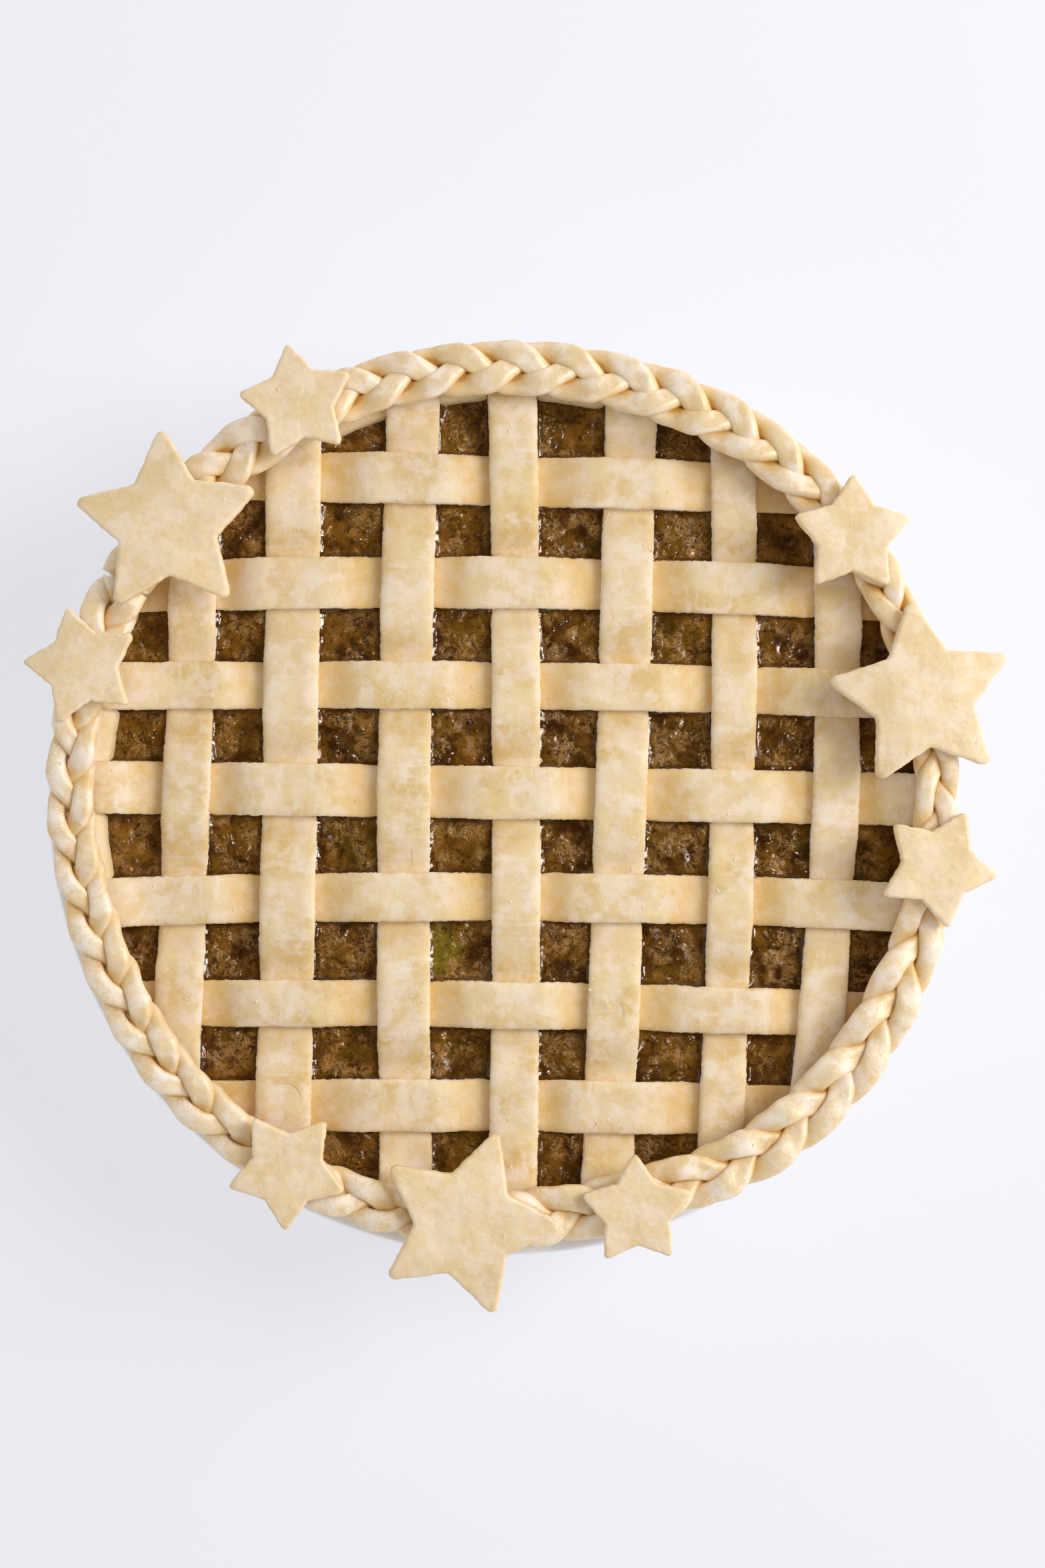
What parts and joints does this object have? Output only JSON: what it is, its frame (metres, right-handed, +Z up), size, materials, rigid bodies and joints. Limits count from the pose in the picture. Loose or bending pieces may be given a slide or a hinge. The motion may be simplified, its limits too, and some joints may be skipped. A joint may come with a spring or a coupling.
{
  "type": "lattice apple pie",
  "caption": "Round apple pie in a white dish, with a woven pastry lattice, a plaited pastry rim and pastry stars laid on it, ready for the oven.",
  "frame": {"origin": "middle of the dish's flat underside", "axes": "+Z up; the long lattice strips run along Y, the cross strips along X"},
  "size_m": [0.2719, 0.2728, 0.0581],
  "materials": {
    "white_glaze": "glossy white glaze",
    "case_dough": "raw pastry, slightly moist",
    "strip_dough": "rolled raw pastry, soft satin",
    "braid_dough": "raw pastry with a dusting of flour",
    "star_dough": "rolled raw pastry, pale and floury",
    "spiced_apple": "dark spiced apple in wet syrup"
  },
  "bodies": {
    "root": {"dish": "white_glaze", "pastry_case": "case_dough", "apple_filling": "spiced_apple", "lattice_long_1": "strip_dough", "lattice_long_2": "strip_dough", "lattice_long_3": "strip_dough", "lattice_long_4": "strip_dough", "lattice_long_5": "strip_dough", "lattice_long_6": "strip_dough", "lattice_long_7": "strip_dough", "lattice_cross_1": "strip_dough", "lattice_cross_2": "strip_dough", "lattice_cross_3": "strip_dough", "lattice_cross_4": "strip_dough", "lattice_cross_5": "strip_dough", "lattice_cross_6": "strip_dough", "lattice_cross_7": "strip_dough", "braid_top_1": "braid_dough", "braid_top_2": "braid_dough", "braid_top_3": "braid_dough", "braid_right_1": "braid_dough", "braid_right_2": "braid_dough", "braid_right_3": "braid_dough", "braid_left_1": "braid_dough", "braid_left_2": "braid_dough", "braid_left_3": "braid_dough", "star_1": "star_dough", "star_2": "star_dough", "star_3": "star_dough", "star_4": "star_dough", "star_5": "star_dough", "star_6": "star_dough", "star_7": "star_dough", "star_8": "star_dough", "star_9": "star_dough"}
  },
  "joints": []
}
